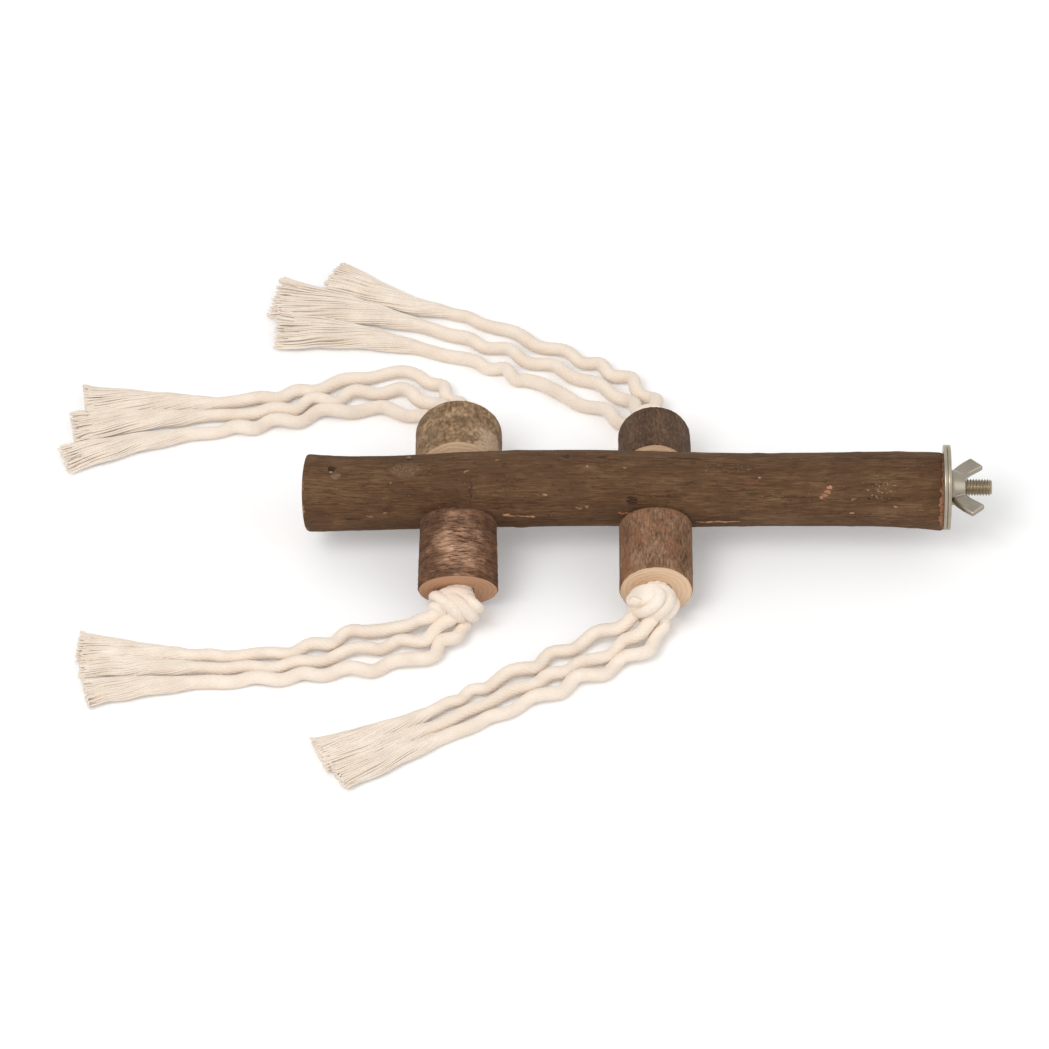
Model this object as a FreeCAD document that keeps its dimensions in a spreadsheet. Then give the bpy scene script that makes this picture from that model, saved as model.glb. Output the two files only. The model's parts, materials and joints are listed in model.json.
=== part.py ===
"""Bird perch: a bark-covered branch that clamps to cage bars, with four wooden blocks on two ropes.

Frame, in millimetres: +Z up, +X along the branch towards the bolt, +Y towards the rear blocks.
The perch stands on its four blocks at Z = 0. The origin is under the middle of its length,
between the sawn end of the branch and the tip of the bolt, with the branch axis over Y = 0.
"""

import FreeCAD, Part
import Sketcher
import math
import os

from FreeCAD import Placement, Rotation, Vector

# name, value, meaning
SIZES = [
    ("branch_length", 225.0, "branch from saw cut to saw cut"),
    ("axis_height", 25.0, "branch axis above the surface the perch stands on"),
    ("butt_rise", -1.6, "branch centre above the axis at its free end"),
    ("butt_radius", 13.8, "branch radius at its free end"),
    ("left_rope_along", 55.0, "left rope from the free end"),
    ("left_rope_rise", -0.3, "branch centre above the axis at the left rope"),
    ("left_rope_radius", 13.3, "branch radius at the left rope"),
    ("crown_along", 98.0, "highest point of the bow, from the free end"),
    ("crown_rise", 0.7, "branch centre above the axis at the top of the bow"),
    ("crown_radius", 13.5, "branch radius at the top of the bow"),
    ("right_rope_along", 124.2, "right rope from the free end"),
    ("right_rope_rise", 0.3, "branch centre above the axis at the right rope"),
    ("right_rope_radius", 13.3, "branch radius at the right rope"),
    ("waist_along", 170.0, "thinnest place, from the free end"),
    ("waist_rise", -0.1, "branch centre above the axis at the thinnest place"),
    ("waist_radius", 12.95, "branch radius at the thinnest place"),
    ("bolt_end_rise", -1.0, "branch centre above the axis at the bolt"),
    ("bolt_end_radius", 13.8, "branch radius at the bolt"),
    ("rope_radius", 4.9, "laid rope of three strands"),
    ("rope_clearance", 0.8, "rope to its drilled holes, all round"),
    ("rope_bend_radius", 10.0, "rope centreline where it turns into a block"),
    ("strand_radius", 2.4, "one strand of the unlaid rope"),
    ("block_gap", 0.4, "block to branch"),
    ("knot_gap", 0.3, "knot to block"),
    ("knot_radius", 8.5, "stopper knot, across the rope"),
    ("knot_length", 10.5, "stopper knot, along the rope"),
    ("knot_rounding", 3.4, "edges of the stopper knot"),
    ("bolt_rise", 1.0, "bolt above the branch axis"),
    ("screw_radius", 2.6, "wood screw half of the hanger bolt"),
    ("screw_length", 24.0, "wood screw half, inside the branch"),
    ("screw_point", 4.0, "tapered point of the wood screw"),
    ("screw_bite", 0.15, "screw radius over pilot hole radius"),
    ("pilot_spare", 1.0, "pilot hole beyond the screw's point"),
    ("thread_radius", 3.0, "M6 thread, over its crests"),
    ("shank_relief", 0.2, "thread crests over the shank under washers and nut"),
    ("free_thread", 9.4, "thread beyond the wing nut"),
    ("thread_chamfer", 0.6, "bevel at the tip of the bolt"),
    ("washer_radius", 15.0, "large washer, outside"),
    ("washer_clearance", 0.2, "large washer's hole, over the thread crests"),
    ("washer_thickness", 1.25, "large washer"),
    ("seat_gap", 0.05, "between clamped faces"),
    ("nut_clearance", 0.1, "wing nut's hole, over the thread crests"),
    ("nut_base_radius", 5.0, "wing nut hub at the washer"),
    ("nut_top_radius", 3.9, "wing nut hub at its outer end"),
    ("nut_hub_length", 5.2, "wing nut hub"),
    ("wing_thickness", 1.8, "wing nut wings"),
    ("wing_root", 3.6, "wings from the nut axis, inside the hub"),
    ("wing_heel", 0.8, "lowest point of a wing above the washer"),
    ("wing_belly_out", 10.6, "outer edge of a wing, half-way, from the nut axis"),
    ("wing_belly_up", 3.3, "outer edge of a wing, half-way, above the washer"),
    ("wing_tip_out", 13.5, "widest point of a wing, from the nut axis"),
    ("wing_tip_up", 8.0, "widest point of a wing above the washer"),
    ("wing_height", 11.0, "wing nut height"),
    ("wing_top_out", 9.0, "highest point of a wing, from the nut axis"),
]

# Each block: which rope, which side of the branch (-1 near, +1 rear), length on its axis,
# radius at the branch, radius at the knot, height of the rope's exit from the branch
# above the branch centre, and the slant of its outer saw cut in degrees.
BLOCK_SIZES = {
    "near_left": ("left_rope", -1, 26.0, 13.65, 14.35, -1.0, 0.0),
    "near_right": ("right_rope", -1, 26.6, 13.0, 13.0, -5.0, 11.0),
    "rear_left": ("left_rope", 1, 24.5, 15.5, 15.5, -5.8, 0.0),
    "rear_right": ("right_rope", 1, 26.9, 13.0, 13.0, -5.8, 0.0),
}
BLOCK_COLUMNS = [
    ("length", "block on its axis"),
    ("inner_radius", "block radius at the branch"),
    ("outer_radius", "block radius at the knot"),
    ("exit_rise", "rope's exit from the branch, above the branch centre"),
    ("slant", "outer saw cut off square, in degrees"),
]

# Routes of the loose strands. The first point is inside the knot, from the knot's centre.
# The others are from the knot's centre along X and Y, and above the ground in Z.
ROUTES = {
    "near_left": {
        "a": [
            (-4, -1, 2), (-12.6, -4.2, 4.6), (-24, -2.6, 2.7), (-37, -6.2, 2.6), (-51.5, -13.4, 2.6),
            (-69, -17, 2.6), (-90, -16.6, 2.6), (-111, -15, 2.6), (-130, -12.5, 2.6),
        ],
        "b": [
            (-1, -3.5, -1.5), (-7, -8.2, 5.2), (-18, -11.6, 2.7), (-31.5, -12.6, 2.6), (-46, -18.4, 2.6),
            (-63, -22.4, 2.6), (-84, -22.8, 2.6), (-107, -21.6, 2.6), (-128, -19.4, 2.6),
        ],
        "c": [
            (3, -2.5, -6), (-2.5, -11.8, 3.6), (-12.5, -18.4, 2.6), (-28, -22.6, 2.6), (-45.5, -25.2, 2.6),
            (-65, -28, 2.6), (-88, -29.2, 2.6), (-110, -31, 2.6), (-129, -34, 2.6),
        ],
    },
    "near_right": {
        "a": [
            (-4, -1, 2), (-12.5, -4, 5.6), (-23, -7.2, 2.8), (-33, -13.8, 2.6), (-46, -22.2, 2.6),
            (-61.5, -31.2, 2.6), (-79, -43, 2.6), (-98.5, -53.6, 2.6), (-117, -61, 2.6),
        ],
        "b": [
            (-1, -3.5, -1.5), (-7.5, -9.6, 5), (-18, -15.6, 2.7), (-31.5, -22, 2.6), (-46, -30.4, 2.6),
            (-62, -39.6, 2.6), (-79.5, -51.4, 2.6), (-98, -62, 2.6), (-114, -69.2, 2.6),
        ],
        "c": [
            (3, -2.5, -6), (-1.5, -12, 3.6), (-10.5, -19.6, 2.6), (-23.5, -28.4, 2.6), (-38, -36.6, 2.6),
            (-54, -46.4, 2.6), (-71, -55.6, 2.6), (-89, -67.4, 2.6), (-106, -76.4, 2.6),
        ],
    },
    "rear_left": {
        "a": [
            (3, 2.5, -3), (1.5, 14, 7.5), (-2.5, 25, 3), (-9.5, 34.5, 2.6), (-21, 39, 2.6),
            (-35, 36.6, 2.6), (-52, 29.6, 2.6), (-71, 24.6, 2.6), (-92, 22.8, 2.6),
            (-112, 22.4, 2.6), (-131, 20.6, 2.6),
        ],
        "b": [
            (-2.5, 3, 1), (-4, 14, 7.4), (-10.5, 23.8, 3), (-21.5, 29.4, 2.6), (-35, 28.2, 2.6),
            (-51, 22.8, 2.6), (-71, 18, 2.6), (-93, 16.4, 2.6), (-114, 15.2, 2.6), (-134, 12, 2.6),
        ],
        "c": [
            (-2, 1.5, -5), (-9, 10.5, 5), (-18.5, 18, 2.7), (-31.5, 20.8, 2.6), (-46, 18.2, 2.6),
            (-62, 13.6, 2.6), (-80, 10, 2.6), (-101, 6.6, 2.6), (-120, 2.2, 2.6), (-137, -3.6, 2.6),
        ],
    },
    "rear_right": {
        "a": [
            (3, 2.5, -1), (2.5, 14, 6.5), (-2, 25, 3), (-10, 34.6, 2.6), (-22.5, 42.2, 2.6),
            (-38, 50, 2.6), (-55, 58.8, 2.6), (-73, 66.6, 2.6), (-91, 75.6, 2.6), (-107, 86.4, 2.6),
        ],
        "b": [
            (-2.5, 3, 2), (-4, 13.5, 6.6), (-10.5, 23.5, 3), (-20.5, 31.6, 2.6), (-34, 38.8, 2.6),
            (-50, 45.6, 2.6), (-68, 54, 2.6), (-87, 61.8, 2.6), (-107, 71.4, 2.6), (-126, 78.6, 2.6),
        ],
        "c": [
            (-2, 1.5, -5), (-9, 10, 3.8), (-19, 17.6, 2.6), (-32, 24.4, 2.6), (-46, 32.6, 2.6),
            (-62, 40.2, 2.6), (-80, 46, 2.6), (-99, 50.4, 2.6), (-118, 53, 2.6), (-134, 53.8, 2.6),
        ],
    },
}

STATIONS = ["butt", "left_rope", "crown", "right_rope", "waist", "bolt_end"]
ALONG_X = Rotation(Vector(0, 0, 1), Vector(1, 0, 0))
CUTTER_SIDE = 80.0
OVERRUN = 12.0

doc = FreeCAD.newDocument("BirdPerch")
sheet = doc.addObject("Spreadsheet::Sheet", "Sizes")
nodes = []


def fill_sheet():
    """Write each driving dimension to a row of its own: name, value, meaning."""
    rows = list(SIZES)
    for block, (_, _, *values) in BLOCK_SIZES.items():
        rows += [
            (f"{block}_{column}", value, f"{block}: {meaning}")
            for (column, meaning), value in zip(BLOCK_COLUMNS, values)
        ]
    for row, (name, value, meaning) in enumerate(rows, start=1):
        sheet.set(f"A{row}", name)
        sheet.set(f"B{row}", str(value))
        sheet.setAlias(f"B{row}", name)
        sheet.set(f"C{row}", meaning)
    doc.recompute()


def size(name):
    """A driving dimension as a plain number."""
    return float(sheet.get(name))


def keep(thing, label, placement=None):
    """Name a finished sub-part and put it in its place."""
    thing.Label = label
    if placement is not None:
        thing.Placement = placement
    nodes.append(thing)
    return thing


def plane(body, role):
    """One of a body's own origin planes or axes."""
    return next(f for f in body.Origin.OriginFeatures if f.Role == role)


def outline(body, name, corners):
    """A closed sketch on the body's XZ plane whose corners are pairs of sheet expressions."""
    sketch = body.newObject("Sketcher::SketchObject", name)
    sketch.AttachmentSupport = [(plane(body, "XZ_Plane"), "")]
    sketch.MapMode = "FlatFace"
    points = [Vector(*(evaluate(e) for e in pair), 0) for pair in corners]
    for i, point in enumerate(points):
        sketch.addGeometry(Part.LineSegment(point, points[(i + 1) % len(points)]))
    for i in range(len(points)):
        sketch.addConstraint(Sketcher.Constraint("Coincident", i, 2, (i + 1) % len(points), 1))
    for i, pair in enumerate(corners):
        for kind, expression in zip(("DistanceX", "DistanceY"), pair):
            value = evaluate(expression)
            index = sketch.addConstraint(Sketcher.Constraint(kind, -1, 1, i, 1, value))
            sketch.renameConstraint(index, f"{kind}{i}")
            sketch.setExpression(f"Constraints.{kind}{i}", expression_of(expression))
    return sketch


def terms(expression):
    """The signed names and numbers that an expression adds up."""
    return expression.replace("-", "+-").split("+")


def evaluate(expression):
    """The value of a sum of driving dimensions and numbers, such as 'a+b-c'."""
    total = 0.0
    for term in filter(None, terms(expression)):
        name = term.lstrip("-")
        value = float(name) if name[0].isdigit() else size(name)
        total += -value if term.startswith("-") else value
    return total


def expression_of(expression):
    """The same sum as a spreadsheet expression."""
    parts = []
    for term in filter(None, terms(expression)):
        name = term.lstrip("-")
        cell = f"{name} mm" if name[0].isdigit() else f"{sheet.Name}.{name} * 1 mm"
        parts.append(("-" if term.startswith("-") else "+") + f" ({cell})")
    return " ".join(parts).lstrip("+ ")


def turned(name, corners):
    """A body turned about its own Z axis from a closed outline of (radius, height) corners."""
    body = doc.addObject("PartDesign::Body", name)
    sketch = outline(body, f"{name}_outline", corners)
    doc.recompute()
    turn = body.newObject("PartDesign::Revolution", f"{name}_turn")
    turn.Profile = sketch
    turn.ReferenceAxis = (sketch, ["V_Axis"])
    turn.Angle = 360
    doc.recompute()
    return body


def tube(points, radius, bends):
    """A round tube along straight runs joined by tangent arcs, with the bend radii it got."""
    edges, radii, last = [], [], points[0]
    for before, corner, after, wanted in zip(points, points[1:], points[2:], bends):
        back, ahead = before - corner, after - corner
        half = (math.pi - back.getAngle(ahead)) / 2
        reach = 0.45 * min(back.Length, ahead.Length)
        if wanted:
            reach = min(reach, wanted * math.tan(half))
        radii.append(reach / math.tan(half))
        start = corner + back * (reach / back.Length)
        end = corner + ahead * (reach / ahead.Length)
        inward = (back.normalize() + ahead.normalize()).normalize()
        middle = corner + inward * (radii[-1] / math.cos(half) - radii[-1])
        edges.append(Part.LineSegment(last, start).toShape())
        edges.append(Part.Arc(start, middle, end).toShape())
        last = end
    edges.append(Part.LineSegment(last, points[-1]).toShape())
    path = Part.Wire(edges)
    ring = Part.Wire([Part.Circle(points[0], points[1] - points[0], radius).toShape()])
    solid = path.makePipeShell([ring], True, True)
    expected = math.pi * radius**2 * path.Length
    if abs(solid.Volume - expected) > 0.01 * expected:
        raise ValueError(f"tube volume {solid.Volume:.0f}, section times length {expected:.0f}")
    return solid, path.Length, radii


def station(name):
    """Place of a branch station along X, its branch centre's height and its branch radius."""
    along = {"butt": 0.0, "bolt_end": size("branch_length")}
    distance = along[name] if name in along else size(f"{name}_along")
    height = size("axis_height") + size(f"{name}_rise")
    return butt_x() + distance, height, size(f"{name}_radius")


def stud_length():
    """Bolt outside the branch: washers, nut, free thread and the gaps between them."""
    gaps = 3 * size("seat_gap")
    return 2 * size("washer_thickness") + gaps + size("nut_hub_length") + size("free_thread")


def butt_x():
    """The free end of the branch: half the whole length behind the origin."""
    return -(size("branch_length") + stud_length()) / 2


def exit_point(block):
    """Where the rope's axis leaves the branch, on its surface."""
    rope, side = BLOCK_SIZES[block][:2]
    x, height, radius = station(rope)
    rise = size(f"{block}_exit_rise")
    return Vector(x, side * math.sqrt(radius**2 - rise**2), height + rise)


def block_seat(block, droop):
    """Centre of a block's inner face and its axis, away from the branch, for a droop in radians."""
    rope, side = BLOCK_SIZES[block][:2]
    x, height, radius = station(rope)
    axis = Vector(0, side * math.cos(droop), -math.sin(droop))
    leaves = exit_point(block)
    reach = radius + size("block_gap") - (leaves - Vector(x, 0, height)).dot(axis)
    return leaves + axis * reach, axis


def lowest(block, droop):
    """Height of the lowest point of a block's rim and of the knot beyond it."""
    centre, axis = block_seat(block, droop)
    radius = size(f"{block}_outer_radius")
    long_side = size(f"{block}_length") + radius * math.tan(math.radians(size(f"{block}_slant")))
    rim = centre.z + long_side * axis.z - radius * math.cos(droop)
    rounding = size("knot_rounding")
    reach = size(f"{block}_length") + knot_clearance(block) + size("knot_length") - rounding
    knot = centre.z + reach * axis.z - (size("knot_radius") - rounding) * math.cos(droop) - rounding
    return min(rim, knot)


def resting_droop(block):
    """The droop that puts a block's rim or its knot on the ground, by halving the interval."""
    shallow, steep = 0.0, math.radians(45)
    for _ in range(50):
        middle = (shallow + steep) / 2
        if lowest(block, middle) > 0:
            shallow = middle
        else:
            steep = middle
    return (shallow + steep) / 2


def knot_clearance(block):
    """Block to knot: a slanted saw cut sweeps a cone as the block turns, and the knot clears it."""
    flat = size("knot_radius") - size("knot_rounding")
    slope = math.tan(math.radians(size(f"{block}_slant")))
    tilt = math.atan(slope)
    under = flat + size("knot_rounding") * math.sin(tilt)
    lift = size("knot_rounding") * (1 - math.cos(tilt))
    return size("knot_gap") + under * slope - lift


def knot_centre(block):
    """Centre of the knot that holds a block."""
    centre, axis = block_seat(block, resting_droop(block))
    reach = size(f"{block}_length") + knot_clearance(block) + size("knot_length") / 2
    return centre + axis * reach


def make_branch():
    """The branch: a bowed loft of circles, drilled for the two ropes and the bolt."""
    rings = []
    for name in STATIONS:
        x, height, _ = station(name)
        ring = doc.addObject("Part::Circle", f"ring_{name}")
        ring.setExpression("Radius", f"{sheet.Name}.{name}_radius * 1 mm")
        ring.Placement = Placement(Vector(x, 0, height), ALONG_X)
        rings.append(ring)
    log = doc.addObject("Part::Loft", "log")
    log.Sections = rings
    log.Solid = True
    log.Ruled = False
    drills = []
    for rope in ("left_rope", "right_rope"):
        near, rear = (exit_point(b) for b, row in BLOCK_SIZES.items() if row[0] == rope)
        drill = doc.addObject("Part::Cylinder", f"{rope}_drill")
        drill.setExpression("Radius", f"({sheet.Name}.rope_radius + {sheet.Name}.rope_clearance) * 1 mm")
        drill.Height = (rear - near).Length + 2 * OVERRUN
        way = (rear - near).normalize()
        drill.Placement = Placement(near - way * OVERRUN, Rotation(Vector(0, 0, 1), way))
        drills.append(drill)
    pilot = doc.addObject("Part::Cylinder", "pilot_drill")
    pilot.setExpression("Radius", f"({sheet.Name}.screw_radius - {sheet.Name}.screw_bite) * 1 mm")
    depth = size("screw_length") + size("pilot_spare")
    pilot.Height = depth + OVERRUN
    pilot.Placement = Placement(bolt_place(-depth), ALONG_X)
    tools = doc.addObject("Part::MultiFuse", "drills")
    tools.Shapes = drills + [pilot]
    cut = doc.addObject("Part::Cut", "drilled_log")
    cut.Base, cut.Tool = log, tools
    return keep(cut, "perch_branch")


def bolt_place(beyond):
    """A point on the bolt's axis, this far beyond the sawn end of the branch."""
    end = butt_x() + size("branch_length")
    return Vector(end + beyond, 0, size("axis_height") + size("bolt_rise"))


def make_bolt():
    """Hanger bolt: a wood screw in the branch, and an M6 thread for the washers and wing nut."""
    stack = "washer_thickness+washer_thickness+seat_gap+seat_gap+seat_gap+nut_hub_length"
    shank = "thread_radius-shank_relief"
    shoulder = f"screw_length+{stack}"
    bolt = turned(
        "hanger_bolt",
        [
            ("0", "0"),
            ("screw_radius", "screw_point"),
            ("screw_radius", "screw_length"),
            (shank, "screw_length"),
            (shank, shoulder),
            ("thread_radius", shoulder),
            ("thread_radius", f"{shoulder}+free_thread-thread_chamfer"),
            ("thread_radius-thread_chamfer", f"{shoulder}+free_thread"),
            ("0", f"{shoulder}+free_thread"),
        ],
    )
    return keep(bolt, "hanger_bolt", Placement(bolt_place(-size("screw_length")), ALONG_X))


def make_washers():
    """Two large washers: the bars of the cage are clamped between them."""
    bore = "thread_radius+washer_clearance"
    pitch = size("washer_thickness") + size("seat_gap")
    for number, label in enumerate(("inner_washer", "outer_washer")):
        washer = turned(
            label,
            [
                (bore, "0"),
                ("washer_radius", "0"),
                ("washer_radius", "washer_thickness"),
                (bore, "washer_thickness"),
            ],
        )
        beyond = size("seat_gap") + number * pitch
        keep(washer, label, Placement(bolt_place(beyond), ALONG_X))


def make_wing_nut():
    """Wing nut: a tapered hub with two upswept wings, which lie level when it is done up."""
    bore = "thread_radius+nut_clearance"
    nut = turned(
        "wing_nut",
        [
            (bore, "0"),
            ("nut_base_radius", "0"),
            ("nut_top_radius", "nut_hub_length"),
            (bore, "nut_hub_length"),
        ],
    )
    profile = outline(
        nut,
        "wing_outline",
        [
            ("wing_root", "wing_heel"),
            ("nut_base_radius", "wing_heel"),
            ("wing_belly_out", "wing_belly_up"),
            ("wing_tip_out", "wing_tip_up"),
            ("wing_top_out", "wing_height"),
            ("nut_top_radius", "nut_hub_length"),
            ("wing_root", "nut_hub_length"),
        ],
    )
    doc.recompute()
    wing = nut.newObject("PartDesign::Pad", "wing")
    wing.Profile = profile
    wing.Midplane = True
    wing.setExpression("Length", f"{sheet.Name}.wing_thickness * 1 mm")
    doc.recompute()
    pair = nut.newObject("PartDesign::Mirrored", "wings")
    pair.Originals = [wing]
    pair.MirrorPlane = (plane(nut, "YZ_Plane"), [""])
    nut.Tip = pair
    doc.recompute()
    beyond = 2 * size("washer_thickness") + 3 * size("seat_gap")
    level = Rotation(Vector(1, 0, 0), 90).multiply(ALONG_X)
    return keep(nut, "wing_nut", Placement(bolt_place(beyond), level))


def make_block(block):
    """A slice of branch, bored for the rope, seated against the branch and resting on the ground."""
    slant = size(f"{block}_slant")
    bore = "rope_radius+rope_clearance"
    spare = f"{block}_outer_radius" if slant else "0"
    body = turned(
        f"{block}_billet",
        [
            (bore, "0"),
            (f"{block}_inner_radius", "0"),
            (f"{block}_outer_radius", f"{block}_length+{spare}"),
            (bore, f"{block}_length+{spare}"),
        ],
    )
    centre, axis = block_seat(block, resting_droop(block))
    place = Placement(centre, tilted_along(axis))
    if not slant:
        return keep(body, f"block_{block}", place)
    saw = doc.addObject("Part::Box", f"{block}_saw")
    saw.Length = saw.Width = saw.Height = CUTTER_SIDE
    tilt = Rotation(Vector(1, 0, 0), slant)
    corner = tilt.multVec(Vector(-CUTTER_SIDE / 2, -CUTTER_SIDE / 2, 0))
    saw.Placement = Placement(corner + Vector(0, 0, size(f"{block}_length")), tilt)
    cut = doc.addObject("Part::Cut", f"{block}_cut")
    cut.Base, cut.Tool = body, saw
    return keep(cut, f"block_{block}", place)


def tilted_along(axis):
    """The rotation that lays Z along a block's axis, with the block's own -Y side uppermost."""
    across = Vector(1, 0, 0) if axis.y > 0 else Vector(-1, 0, 0)
    return Rotation(across, axis.cross(across), axis, "ZXY")


def make_knot(block):
    """A stopper knot: a short barrel with rounded edges around the rope's axis."""
    barrel = doc.addObject("Part::Cylinder", f"{block}_barrel")
    barrel.setExpression("Radius", f"{sheet.Name}.knot_radius * 1 mm")
    barrel.setExpression("Height", f"{sheet.Name}.knot_length * 1 mm")
    doc.recompute()
    knot = doc.addObject("Part::Fillet", f"{block}_knot")
    knot.Base = barrel
    rounding = size("knot_rounding")
    rims = [i for i, edge in enumerate(barrel.Shape.Edges, start=1) if edge.isClosed()]
    knot.Edges = [(rim, rounding, rounding) for rim in rims]
    axis = block_seat(block, resting_droop(block))[1]
    foot = knot_centre(block) - axis * (size("knot_length") / 2)
    return keep(knot, f"knot_{block}", Placement(foot, Rotation(Vector(0, 0, 1), axis)))


def make_rope(rope):
    """The laid rope between two knots, bent where it leaves the branch on each side."""
    near, rear = (b for b, row in BLOCK_SIZES.items() if row[0] == rope)
    ends = []
    for block in (near, rear):
        axis = block_seat(block, resting_droop(block))[1]
        ends.append(knot_centre(block) - axis * (size("knot_length") / 2))
    points = [ends[0], exit_point(near), exit_point(rear), ends[1]]
    bend = size("rope_bend_radius")
    solid, length, _ = tube(points, size("rope_radius"), [bend, bend])
    feature = doc.addObject("Part::Feature", rope)
    feature.Shape = solid
    print(f"{rope}: {length:.1f} mm between its knots")
    return keep(feature, rope)


def make_strand(block, letter):
    """A loose strand: out of the knot, down to the ground, and along it."""
    knot = knot_centre(block)
    first, *rest = ROUTES[block][letter]
    points = [knot + Vector(*first)] + [Vector(knot.x + x, knot.y + y, z) for x, y, z in rest]
    solid, length, radii = tube(points, size("strand_radius"), [None] * (len(points) - 2))
    feature = doc.addObject("Part::Feature", f"strand_{block}_{letter}")
    feature.Shape = solid
    bends = " ".join(f"{radius:.0f}" for radius in radii)
    print(f"strand_{block}_{letter}: {length:.1f} mm, bend radii {bends}")
    return keep(feature, f"strand_{block}_{letter}")


def check_and_write():
    """Refuse any failed or empty object, then write each sub-part to a file of its own."""
    doc.recompute()
    for thing in doc.Objects:
        if "Invalid" in thing.State or "Error" in thing.State:
            raise ValueError(f"{thing.Label} failed: {thing.State}")
    for node in nodes:
        shape = node.Shape
        if shape.isNull() or not shape.isValid() or len(shape.Solids) != 1:
            raise ValueError(f"{node.Label} is not one valid solid")
    os.makedirs("parts", exist_ok=True)
    for node in nodes:
        node.Shape.exportStep(f"parts/{node.Label}.step")
        print(f"{node.Label}: {node.Shape.Volume:.0f} cubic mm")


fill_sheet()
make_branch()
make_bolt()
make_washers()
make_wing_nut()
for block_name in BLOCK_SIZES:
    make_block(block_name)
    make_knot(block_name)
for rope_name in ("left_rope", "right_rope"):
    make_rope(rope_name)
for block_name, routes in ROUTES.items():
    for strand_letter in routes:
        make_strand(block_name, strand_letter)
check_and_write()
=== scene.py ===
"""The looks of the bird perch: bark, sawn wood, cotton rope and zinc-plated steel, around its CAD frame.

Lengths are in metres, in the CAD row's frame: +Z up, +X along the branch towards the bolt.
"""

import json
import math

import bpy
import numpy as np
from mathutils import Matrix, Vector, noise
from mathutils.bvhtree import BVHTree


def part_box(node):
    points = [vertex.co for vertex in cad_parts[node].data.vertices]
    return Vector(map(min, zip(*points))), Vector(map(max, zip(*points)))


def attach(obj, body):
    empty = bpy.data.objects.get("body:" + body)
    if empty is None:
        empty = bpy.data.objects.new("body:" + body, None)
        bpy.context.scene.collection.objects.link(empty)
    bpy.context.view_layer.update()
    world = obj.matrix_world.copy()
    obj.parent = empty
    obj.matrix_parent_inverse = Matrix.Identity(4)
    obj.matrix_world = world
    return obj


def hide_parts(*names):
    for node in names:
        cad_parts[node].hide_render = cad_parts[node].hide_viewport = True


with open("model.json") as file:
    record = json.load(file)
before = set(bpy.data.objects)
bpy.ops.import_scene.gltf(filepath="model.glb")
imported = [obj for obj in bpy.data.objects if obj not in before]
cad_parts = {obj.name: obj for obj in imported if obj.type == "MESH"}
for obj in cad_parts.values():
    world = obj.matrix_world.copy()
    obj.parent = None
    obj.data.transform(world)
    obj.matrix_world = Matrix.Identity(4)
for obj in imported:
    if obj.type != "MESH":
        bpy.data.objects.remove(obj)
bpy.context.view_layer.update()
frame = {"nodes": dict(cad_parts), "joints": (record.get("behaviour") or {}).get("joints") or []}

MM = 0.001
TAU = 2 * math.pi
BLOCKS = ("near_left", "near_right", "rear_left", "rear_right")

# Camera: it looks along +Y and down, from far enough away to keep the branch's sides parallel.
LOOK_DOWN = math.radians(45)
CAMERA_AWAY = 3.6
CAMERA_LENS = 352.0
CAMERA_TARGET = Vector((-0.0429, -0.0087, 0.0163))

ROUTES = {
    "near_left": {
        "a": [(-4, -1, 2), (-12.6, -4.2, 4.6), (-24, -2.6, 2.7), (-37, -6.2), (-51.5, -13.4), (-69, -17),
              (-90, -16.6), (-111, -15), (-130, -12.5)],
        "b": [(-1, -3.5, -1.5), (-7, -8.2, 5.2), (-18, -11.6, 2.7), (-31.5, -12.6), (-46, -18.4),
              (-63, -22.4), (-84, -22.8), (-107, -21.6), (-128, -19.4)],
        "c": [(3, -2.5, -6), (-2.5, -11.8, 3.6), (-12.5, -18.4), (-28, -22.6), (-45.5, -25.2), (-65, -28),
              (-88, -29.2), (-110, -31), (-129, -34)],
    },
    "near_right": {
        "a": [(-4, -1, 2), (-12.5, -4, 5.6), (-23, -7.2, 2.8), (-33, -13.8), (-46, -22.2), (-61.5, -31.2),
              (-79, -43), (-98.5, -53.6), (-117, -61)],
        "b": [(-1, -3.5, -1.5), (-7.5, -9.6, 5), (-18, -15.6, 2.7), (-31.5, -22), (-46, -30.4), (-62, -39.6),
              (-79.5, -51.4), (-98.5, -60.8), (-115.2, -66.8)],
        "c": [(3, -2.5, -6), (-2, -11.8, 3.6), (-11.5, -18.8), (-25, -26.8), (-40, -34.8), (-56.5, -44.6),
              (-73.5, -53.8), (-92.5, -65.6), (-109.5, -74.6)],
    },
    "rear_left": {
        "a": [(3, 2.5, -3), (1.5, 14, 7.5), (-2.5, 25, 3), (-9.5, 34.5), (-21, 39), (-35, 36.6), (-52, 29.6),
              (-71, 24.6), (-92, 22.8), (-112, 22.4), (-131, 20.6)],
        "b": [(-2.5, 3, 1), (-4, 14, 7.4), (-10.5, 23.8, 3), (-21.5, 29.4), (-35, 28.2), (-51, 22.8),
              (-71, 18), (-93, 16.4), (-114, 15.2), (-134, 12)],
        "c": [(-2, 1.5, -5), (-9, 10.5, 5), (-18.5, 18, 2.7), (-31.5, 20.8), (-46, 18.2), (-62, 13.6),
              (-80, 10), (-101, 6.6), (-120, 2.2), (-137, -3.6)],
    },
    "rear_right": {
        "a": [(3, 2.5, -1), (2.5, 14, 6.5), (-2, 25, 3), (-10, 34.6), (-22.5, 42.4), (-38, 50.4), (-55, 60),
              (-70.5, 68.4), (-84.5, 71.4), (-98.5, 79.2), (-113, 87.8)],
        "b": [(-2.5, 3, 2), (-4, 13.5, 6.6), (-10.5, 23.5, 3), (-20.5, 31.6), (-34, 39), (-50, 46.4),
              (-68, 55.6), (-87.5, 63.4), (-110, 70.6), (-132, 75.2)],
        "c": [(-2, 1.5, -5), (-9, 10, 3.8), (-19, 18), (-32, 25.4), (-46, 34), (-62, 42.4), (-80, 49.2),
              (-99, 53.8), (-118, 56), (-134.5, 56)],
    },
}

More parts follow.
